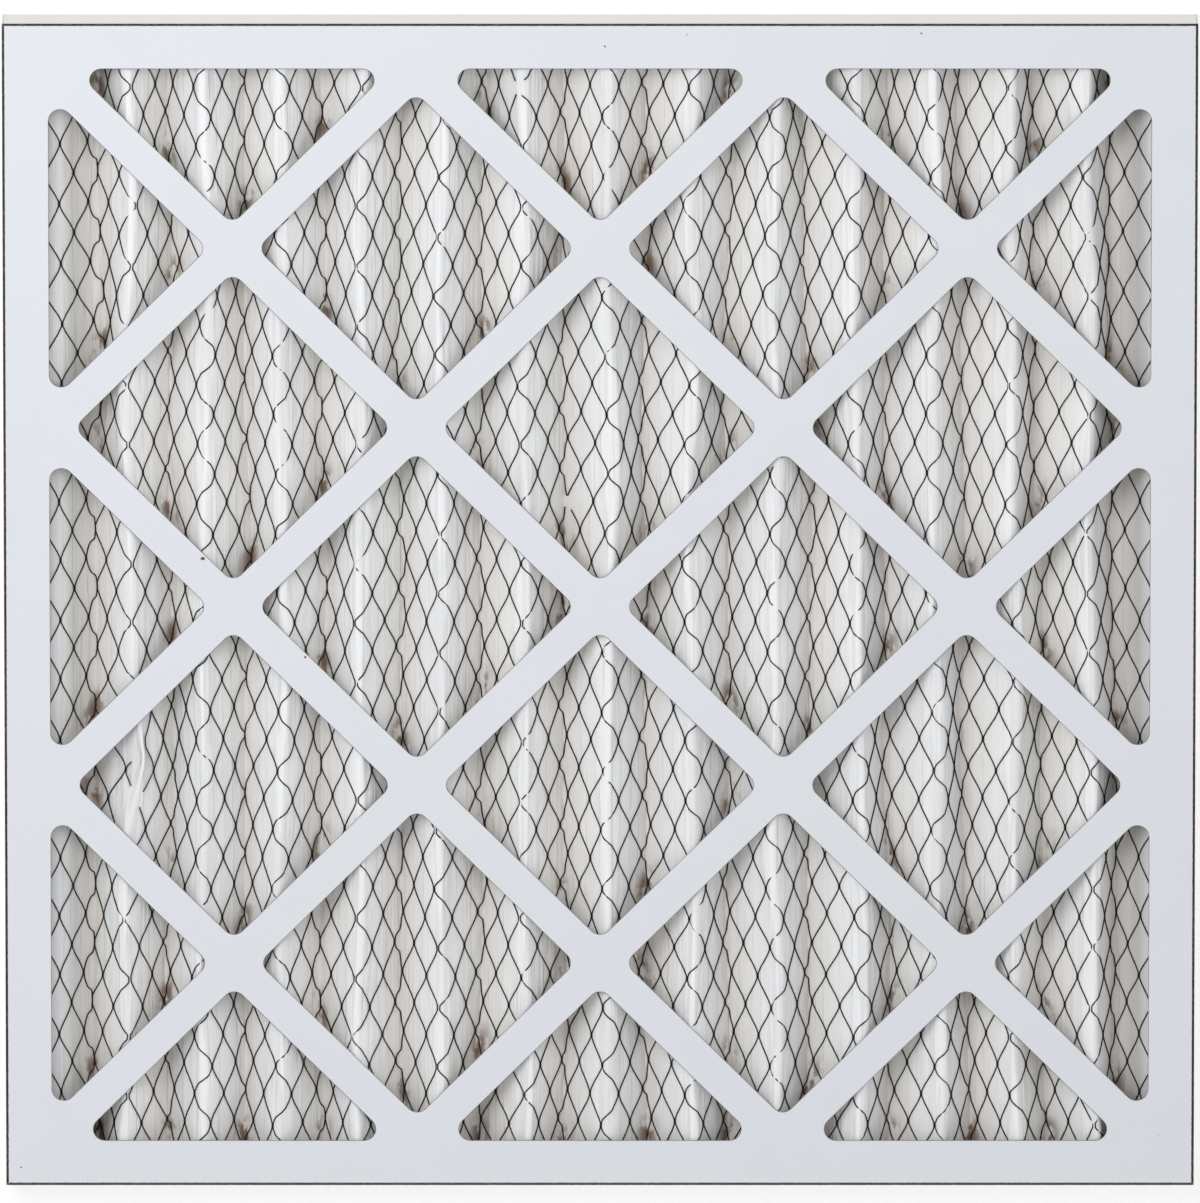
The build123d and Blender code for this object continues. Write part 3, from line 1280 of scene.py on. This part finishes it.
@dataclass
class PleatedMedia:
    """The zigzag of nonwoven and the fibres that stand off it."""

    surface: PleatSurface
    nap_height: float = 0.07
    nap_size: float = 2.6
    seed: int = 3
    weld: float = 0.001
    crest_depth: float = 3.0
    fibre_density: float = 9000.0
    fibre_length: float = 3.2
    fibre_radius: float = 0.03
    fibre_lift: float = 0.1
    fibre_bow: float = 0.25
    fibre_sizes: Span = (0.4, 1.3)
    fibre_turns: Span = (0.6, 2.5)

    def sheet(self) -> bpy.types.Object:
        """The media itself, in place of its CAD solid.

        Returns:
            The piece.
        """
        rule = GrowthRule(
            "folded_nonwoven",
            Thickness=self.surface.rule.media * MM,
            Nap_height=self.nap_height * MM,
            Nap_size=self.nap_size * MM,
            Material=Nonwoven(self.surface.rule.panel, self.surface.dent).material(),
        )
        given = rule.given
        outward = rule.attribute("outward", "FLOAT_VECTOR")
        scale = rule.math("DIVIDE", 1.0, given["Nap size"])
        nap = rule.made("ShaderNodeTexNoise", {"Scale": scale, "Detail": 1.0})
        nap = rule.product(rule.math("SUBTRACT", nap, 0.5), given["Nap height"])
        back = rule.math("SUBTRACT", nap, rule.product(given["Thickness"], 0.5))
        feeds = {"Geometry": given["Geometry"], "Offset": rule.scaled(outward, back)}
        rear = rule.made("GeometryNodeSetPosition", feeds)
        feeds = {"Mesh": rear, "Offset Scale": 0.0, "Individual": False}
        grown = rule.node("GeometryNodeExtrudeMesh", feeds).outputs
        top = {"Selection": grown["Top"]}
        feeds = {"Geometry": grown["Mesh"], "Offset": rule.scaled(outward, given["Thickness"]), **top}
        front = rule.made("GeometryNodeSetPosition", feeds)
        feeds = {"Geometry": front, "Name": "front", "Value": 1.0, **top}
        front = rule.made("GeometryNodeStoreNamedAttribute", feeds, domain="FACE")
        both = rule.node("GeometryNodeJoinGeometry")
        for part in (front, rule.made("GeometryNodeFlipFaces", {"Mesh": rear})):
            rule.tree.links.new(part, both.inputs[0])
        feeds = {"Geometry": both.outputs[0], "Distance": self.weld * MM}
        rule.close(rule.made("GeometryNodeMergeByDistance", feeds))
        piece = rule.grow("pleated_nonwoven", self._middle())
        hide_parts("pleated_media")
        settle(piece)
        return piece

    def _middle(self, lift: float = 0.0) -> bpy.types.Mesh:
        """The sheet's middle as a mesh, with the way outward stored on it.

        Args:
            lift: Distance in front of the middle.

        Returns:
            The mesh.
        """
        surface = self.surface
        rows, columns = surface.x.shape
        across, along = -np.sin(surface.turn), np.cos(surface.turn)
        points = np.stack(
            [
                surface.x + lift * across,
                np.broadcast_to(surface.y[:, None], surface.x.shape),
                surface.z + lift * along,
            ],
            axis=-1,
        )
        index = np.arange(rows * columns).reshape(rows, columns)
        faces = np.stack([index[:-1, :-1], index[:-1, 1:], index[1:, 1:], index[1:, :-1]], axis=-1)
        mesh = plain_mesh("sheet_middle", points.reshape(-1, 3), faces=faces.reshape(-1, 4).tolist())
        outward = np.stack([across, np.zeros_like(across), along], axis=-1)
        store(mesh, "outward", outward.reshape(-1, 3))
        near = np.clip(1 - (surface.z.max() - surface.z) / self.crest_depth, 0, 1) ** 2
        store(mesh, "crest", near.ravel())
        return mesh

    def loose_fibres(self) -> bpy.types.Object:
        """Single fibres that lie over the ridges and their strands.

        Returns:
            The piece.
        """
        rule = GrowthRule(
            "loose_fibres",
            Density=self.fibre_density,
            Length=self.fibre_length * MM,
            Radius=self.fibre_radius * MM,
            Seed=self.seed,
            Material=Fibre("loose_fibre", (0.90, 0.89, 0.87)).material(),
        )
        given = rule.given
        feeds = {
            "Mesh": given["Geometry"],
            "Density": rule.product(given["Density"], rule.attribute("crest")),
            "Seed": given["Seed"],
        }
        spread = rule.node("GeometryNodeDistributePointsOnFaces", feeds).outputs
        feeds = {
            "Points": spread["Points"],
            "Instance": rule.hair(given["Length"], given["Radius"], self.fibre_bow),
            "Rotation": spread["Rotation"],
            "Scale": rule.random(*self.fibre_sizes, 1),
        }
        laid = rule.made("GeometryNodeInstanceOnPoints", feeds)
        turns = ((0.0, 0.0, turn) for turn in self.fibre_turns)
        feeds = {"Instances": laid, "Rotation": rule.random(*turns, 2)}
        rule.close(rule.made("GeometryNodeRotateInstances", feeds))
        lift = self.surface.rule.media / 2 + self.fibre_lift
        return settle(rule.grow("loose_fibres", self._middle(lift)))


@dataclass
class ExpandedMetal:
    """The fine diamond mesh that backs the media, strand by strand."""

    surface: PleatSurface
    long_way: float = 25.3
    short_way: float = 12.84
    bond: float = 2.0
    strand_radius: float = 0.285
    strand_sides: int = 4
    bond_row: float = 182.2
    bond_x: float = 221.8
    steps: int = 12
    tolerance: float = 0.075
    fewest_points: int = 3
    end_gap: float = 0.4
    side_gap: float = 1.0
    clear: float = 0.27
    sink: float = 0.70
    sink_depth: float = 2.2
    cover: Wander = Wander(53, (2.3, 2.9, 3.7, 5.1, 8.0, 60.0, 150.0))
    cover_swing: float = 0.8
    cover_level: float = -0.1
    curl: float = 0.5
    curl_spread: float = 2.2
    crossing_samples: int = 33
    ease: float = 0.35
    kink: float = 4.5
    kink_reach: float = 1.3
    kink_shift: float = -1.7
    jitter: Wander = Wander(59, (31.0, 43.0, 60.0, 95.0, 170.0))
    jitter_size: float = 0.28
    jitter_apart: float = 400.0
    breaks: tuple[Spot, ...] = (
        Spot(-194.5, -54.0, 5.0),
        Spot(-192.5, -63.0, 4.2),
        Spot(-193.0, -72.0, 3.6),
        Spot(-195.0, -82.0, 5.0),
        Spot(-198.0, -92.0, 3.5),
        Spot(-33.0, 220.5, 3.0),
        Spot(-12.5, 40.8, 2.2),
    )

    def build(self) -> bpy.types.Object:
        """The whole mesh, in place of its CAD solid.

        Returns:
            The piece.
        """
        rule = GrowthRule(
            "expanded_metal",
            Strand_radius=self.strand_radius * MM,
            Sides=self.strand_sides,
            Material=DullMetal().material(),
        )
        given = rule.given
        line = rule.made("GeometryNodeMeshToCurve", {"Mesh": given["Geometry"]})
        rule.close(rule.tube(line, given["Strand radius"], given["Sides"]))
        piece = rule.grow("expanded_metal_strands", self._lines())
        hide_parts("support_mesh")
        return settle(piece)

    def _lines(self) -> bpy.types.Mesh:
        """The middle lines of all strands.

        Returns:
            A mesh of open lines, in points and edges.
        """
        points: list[np.ndarray] = []
        edges: list[tuple[int, int]] = []
        half_way = self.short_way / 2
        first = self.surface.flat_at(self.bond_x) - half_way / 2
        lowest = 1 - int(first / half_way)
        count = int(self.surface.unfolded_length / half_way) - 1
        number = 0
        for strand in range(lowest, lowest + count):
            flat, y, corner = self._path(first + strand * half_way, strand % 2)
            for run in self._runs(self._lay(flat, y), corner):
                edges += [(number + i, number + i + 1) for i in range(len(run) - 1)]
                number += len(run)
                points.append(run)
        return plain_mesh("strand_lines", np.concatenate(points), edges)

    def _path(self, middle: float, parity: int) -> tuple[np.ndarray, np.ndarray, np.ndarray]:
        """One strand's zigzag on the flat sheet.

        Args:
            middle: Where the strand's middle line runs across the sheet.
            parity: Nought for an even strand and one for an odd one.

        Returns:
            Places across and along the sheet, and which of them are corners.
        """
        half, half_way = self.surface.rule.panel.pack_half_height, self.long_way / 2
        reach = self.short_way / 4 - self.strand_radius
        above = math.ceil((half - self.bond_row) / half_way)
        top = self.bond_row + half_way * above
        rows = int(2 * (half + self.long_way) / half_way) + 2
        climb = (half_way - self.bond) / self.steps
        across = self._crossing(middle - reach, middle + reach)
        flat, y, corner = [], [], []
        for row in range(rows):
            bond_y = top - row * half_way
            side = reach if (above - row + parity) % 2 == 0 else -reach
            run = across[::-1] if side > 0 else across
            flat += [middle + side, *run[:-1]]
            y += [bond_y + self.bond / 2, *(bond_y - self.bond / 2 - climb * np.arange(self.steps))]
            corner += [True, True] + [False] * (self.steps - 1)
        flat, y, corner = np.array(flat), np.array(y), np.array(corner)
        inside = np.abs(y) < half - self.end_gap
        return flat[inside], y[inside], corner[inside]

    def _crossing(self, start: float, end: float) -> np.ndarray:
        """Places on a strand's way between two bonds, with its kink by a valley.

        Args:
            start: Where the lower bond is.
            end: Where the higher bond is.

        Returns:
            One place for each step.
        """
        place = np.linspace(start, end, self.crossing_samples)
        near = np.abs(self.surface.valleys[:, None] + self.kink_shift - place).min(axis=0)
        slow = 1 / (1 + self.kink * np.exp(-((near / self.kink_reach) ** 2)))
        spent = np.concatenate([[0.0], np.cumsum(slow[1:] + slow[:-1])])
        share = np.linspace(0, 1, self.steps + 1)
        share += self.ease * (share**2 * (3 - 2 * share) - share)
        return np.interp(share, spent / spent[-1], place)

    def _lay(self, flat: np.ndarray, y: np.ndarray) -> np.ndarray:
        """A strand's points on the media, sunk into the ridges here and there.

        Args:
            flat: Places across the flat sheet.
            y: Places along the pleats.

        Returns:
            The points.
        """
        flat = np.clip(flat, self.side_gap, self.surface.unfolded_length - self.side_gap)
        flat = flat + self.jitter_size * self.jitter.over(flat, y)
        y = y + self.jitter_size * self.jitter.over(y + self.jitter_apart, flat)
        half = self.surface.rule.media / 2
        plain = self.surface.locate(flat, y, np.full(len(y), half))
        top = self.surface.z.max() + half
        crest = np.clip(1 - (top - plain[:, 2]) / self.sink_depth, 0, 1)
        cover = self.cover.over(plain[:, 0], y) * self.cover_swing + self.cover_level
        offset = half + self.clear - self.sink * crest * np.clip(cover, 0, 1)
        for spot in self.breaks:
            curled = Spot(spot.x, spot.y, spot.radius * self.curl_spread)
            offset = offset + self.curl * curled.share(plain[:, 0], y)
        return self.surface.locate(flat, y, offset)

    def _runs(self, line: np.ndarray, corner: np.ndarray) -> list[np.ndarray]:
        """A strand cut at its breaks and thinned to the points that it needs.

        Args:
            line: The strand's points.
            corner: Which of them have to stay.

        Returns:
            Each unbroken run of the strand.
        """
        whole = np.ones(len(line), bool)
        for spot in self.breaks:
            whole &= np.hypot(line[:, 0] - spot.x, line[:, 1] - spot.y) > spot.radius
        runs, start = [], 0
        for end in range(1, len(line) + 1):
            if end == len(line) or not whole[end]:
                if end - start >= self.fewest_points and whole[start]:
                    runs.append(self._thin(line[start:end], corner[start:end]))
                start = end
            elif not whole[start]:
                start = end
        return runs

    def _thin(self, line: np.ndarray, corner: np.ndarray) -> np.ndarray:
        """The fewest points that follow a line within the tolerance.

        Args:
            line: The line's points.
            corner: Which of them have to stay.

        Returns:
            The points that are kept.
        """
        keep = corner.copy()
        keep[[0, -1]] = True
        stack = list(zip(np.flatnonzero(keep)[:-1], np.flatnonzero(keep)[1:]))
        while stack:
            low, high = stack.pop()
            if high - low < 2:
                continue
            chord = line[high] - line[low]
            length = np.linalg.norm(chord)
            away = np.cross(line[low + 1 : high] - line[low], chord / length)
            far = np.linalg.norm(away, axis=1)
            worst = int(np.argmax(far))
            if far[worst] > self.tolerance:
                middle = low + 1 + worst
                keep[middle] = True
                stack += [(low, middle), (middle, high)]
        return line[keep]


@dataclass(frozen=True)
class GlueBeads:
    """The glue between the pack and the trays."""

    nodes: tuple[str, ...] = ("adhesive_left", "adhesive_right", "adhesive_top", "adhesive_bottom")

    def dress(self) -> None:
        """Gives every bead its glue."""
        material = DriedGlue().material()
        for name in self.nodes:
            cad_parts[name].material_slots[0].material = material
            log.info("dressed %s", name)


# ---- Studio -------------------------------------------------------------------------------
@dataclass(frozen=True)
class Lamp:
    """One round soft lamp that faces the filter."""

    name: str
    place: Triple
    size: float
    level: float

    def hang(self) -> None:
        """Puts the lamp up, at a power that lights the face to its level."""
        place = Vector(self.place)
        light = bpy.data.lights.new(self.name, "AREA")
        light.shape = "DISK"
        light.size = self.size
        light.energy = self.level * math.pi**2 * place.length**3 / place.z
        piece = placed(self.name, light)
        piece.location = place
        piece.rotation_euler = (-place).to_track_quat("-Z", "Y").to_euler()


@dataclass(frozen=True)
class Studio:
    """A white table, a pale room, two large soft lamps and a long lens."""

    panel: PanelSizes
    picture: tuple[int, int] = (1200, 1203)
    face_pixels: float = 1192.0
    tilt: float = 13.0
    lens: float = 1000.0
    sensor: float = 36.0
    ambient: float = 0.64
    bounce: float = 0.95
    lamps: tuple[Lamp, ...] = (
        Lamp("key_lamp", (-0.55, 0.60, 1.15), 0.9, 0.31),
        Lamp("fill_lamp", (0.95, 0.25, 1.9), 1.2, 0.06),
    )
    horizon: Span = (0.1, -0.3)
    floor_half: float = 6.0
    floor_drop: float = 0.2
    floor_shade: float = 0.42
    floor_glow: float = 0.62
    nearest: float = 0.1
    farthest: float = 4.0

    def build(self) -> None:
        """Sets up the floor, the room, the lamps and the camera."""
        self._floor()
        self._room()
        for lamp in self.lamps:
            lamp.hang()
        self._camera()
        bpy.context.scene.view_settings.view_transform = "Standard"

    @staticmethod
    def _seen(graph: NodeGraph) -> bpy.types.NodeSocket:
        """One for rays that show the background, nought for rays that light.

        Args:
            graph: The node tree that asks.

        Returns:
            The answer for each ray.
        """
        path = graph.node("ShaderNodeLightPath").outputs
        seen = graph.math("MAXIMUM", path["Is Camera Ray"], path["Is Glossy Ray"])
        return graph.math("MAXIMUM", seen, path["Is Transmission Ray"])

    def _floor(self) -> None:
        """A white floor that keeps the shadow and lets the rear be seen and lit from below."""
        half, level = self.floor_half / MM, -self.floor_drop
        ring = ((-half, -half), (half, -half), (half, half), (-half, half))
        corners = [(*corner, level) for corner in ring]
        floor = placed("floor", plain_mesh("floor", corners, faces=[(0, 1, 2, 3)]))
        graph = ShaderGraph("floor")
        matte = graph.made("ShaderNodeBsdfDiffuse", (self.floor_shade,) * 3)
        strength = graph.product(self._seen(graph), self.floor_glow)
        glow = graph.made("ShaderNodeEmission", (1.0, 1.0, 1.0), strength)
        lit = graph.made("ShaderNodeAddShader", matte, glow)
        under = graph.node("ShaderNodeNewGeometry").outputs["Backfacing"]
        lighting = graph.node("ShaderNodeLightPath").outputs["Is Diffuse Ray"]
        open_to = graph.math("MAXIMUM", under, lighting)
        clear = graph.made("ShaderNodeBsdfTransparent")
        mixed = graph.made("ShaderNodeMixShader", open_to, lit, clear)
        feed(graph.tree, graph.tree.nodes["Material Output"].inputs["Surface"], mixed)
        floor.data.materials.append(graph.material)

    def _room(self) -> None:
        """A white room that lights the filter softly from all round, and more from below."""
        world = bpy.data.worlds.new("room")
        bpy.context.scene.world = world
        world.use_nodes = True
        graph = NodeGraph(world.node_tree)
        towards = graph.node("ShaderNodeTexCoord").outputs["Generated"]
        height = graph.node("ShaderNodeSeparateXYZ", towards).outputs["Z"]
        glow = graph.made("ShaderNodeMapRange", height, *self.horizon, self.ambient, self.bounce)
        level = graph.made("ShaderNodeMapRange", self._seen(graph), 0.0, 1.0, glow, 1.0)
        background = graph.tree.nodes["Background"].inputs
        feed(graph.tree, background["Color"], (1.0, 1.0, 1.0))
        feed(graph.tree, background["Strength"], level)

    def _camera(self) -> None:
        """A long lens, square to the face but for a lean towards its upper side."""
        data = bpy.data.cameras.new("camera")
        data.sensor_width = self.sensor
        data.lens = self.lens
        camera = placed("camera", data)
        wide, high = self.picture
        view_width = self.panel.face_width * MM * wide / self.face_pixels
        distance = view_width * max(wide, high) / wide * self.lens / self.sensor
        lean = math.radians(self.tilt)
        away = Vector((0.0, math.sin(lean), math.cos(lean)))
        up = Vector((0.0, math.cos(lean), -math.sin(lean)))
        depth, half = self.panel.depth * MM, self.panel.face_height * MM / 2
        face = Vector((0.0, 0.0, depth))
        lowest = Vector((0.0, -half, depth)).dot(up)
        highest = Vector((0.0, half, 0.0)).dot(up)
        aim = face + up * ((lowest + highest) / 2 - face.dot(up))
        camera.location = aim + away * distance
        camera.rotation_euler = (-lean, 0.0, 0.0)
        data.clip_start, data.clip_end = self.nearest, self.farthest * distance
        bpy.context.scene.camera = camera


def main() -> None:
    """Builds and dresses the filter from the frame inwards, then the studio."""
    panel = PanelSizes()
    surface = PleatSurface(FoldRule(panel))
    trays = BoardTrays(panel)
    trays.dress()
    trays.lip()
    trays.fuzz()
    trays.dust()
    media = PleatedMedia(surface)
    media.sheet()
    media.loose_fibres()
    ExpandedMetal(surface).build()
    GlueBeads().dress()
    Studio(panel).build()


if __name__ == "__main__":
    main()
